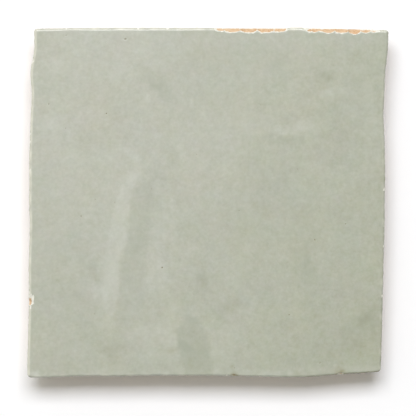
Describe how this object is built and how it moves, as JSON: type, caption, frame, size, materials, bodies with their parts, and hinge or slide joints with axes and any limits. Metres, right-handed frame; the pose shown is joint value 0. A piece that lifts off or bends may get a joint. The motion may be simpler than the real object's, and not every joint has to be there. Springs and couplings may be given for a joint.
{
  "type": "zellige tile",
  "caption": "Square hand-cut glazed clay wall tile with a wavy glossy face, sides dressed to run in under the face, and a flat back.",
  "frame": {"origin": "centre of the flat back, on the floor that the tile lies on", "axes": "+Z out of the glazed face, up; +X to the right and +Y up as the picture shows the tile from straight above"},
  "size_m": [0.1028, 0.0995, 0.0113],
  "materials": {
    "glazed_clay": "gloss"
  },
  "bodies": {
    "root": {"zellige_tile": "glazed_clay"}
  },
  "joints": []
}
